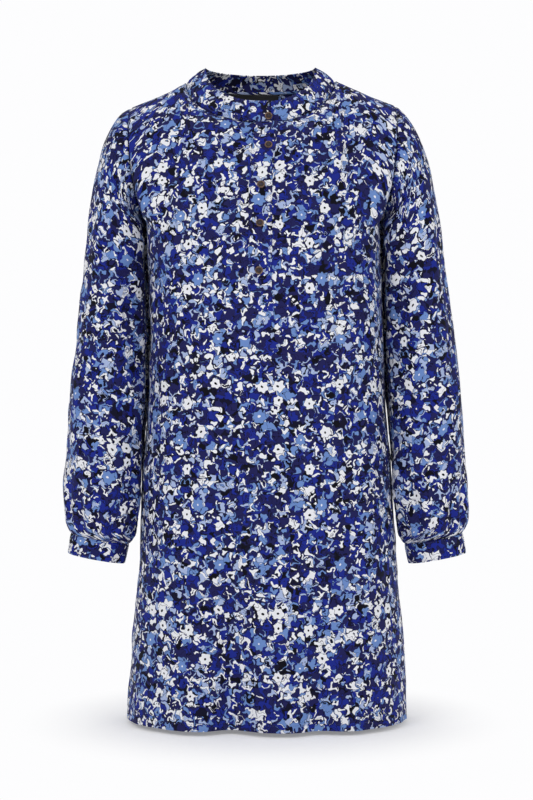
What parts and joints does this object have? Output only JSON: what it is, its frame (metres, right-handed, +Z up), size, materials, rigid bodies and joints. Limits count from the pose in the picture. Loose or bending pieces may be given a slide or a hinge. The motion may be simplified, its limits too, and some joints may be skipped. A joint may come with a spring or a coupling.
{
  "type": "shirt dress",
  "caption": "Long-sleeved above-knee shirt dress with a standing collar band, a buttoned half placket and gathered sleeves on buttonless cuffs, filled out as worn.",
  "frame": {"origin": "midway between the two points where the shoulder seams meet the neck seam, where the wearer's shoulders hold the dress", "axes": "+Z up, the front faces -Y, +X towards the wearer's left sleeve"},
  "size_m": [0.5402, 0.2651, 0.8729],
  "materials": {
    "print_front": "printed plain weave",
    "print_back": "printed plain weave",
    "print_sleeve": "printed plain weave",
    "print_cuff": "printed plain weave",
    "print_collar": "printed plain weave",
    "print_placket": "printed plain weave",
    "horn_button": "polished",
    "woven_tape": "satin weave"
  },
  "bodies": {
    "root": {"front_panel": "print_front", "back_panel": "print_back", "sleeve_left": "print_sleeve", "sleeve_right": "print_sleeve", "cuff_left": "print_cuff", "cuff_right": "print_cuff", "collar_band": "print_collar", "placket_over": "print_placket", "placket_under": "print_placket", "button_1": "horn_button", "button_2": "horn_button", "button_3": "horn_button", "button_4": "horn_button", "button_5": "horn_button", "neck_label": "woven_tape"}
  },
  "joints": []
}
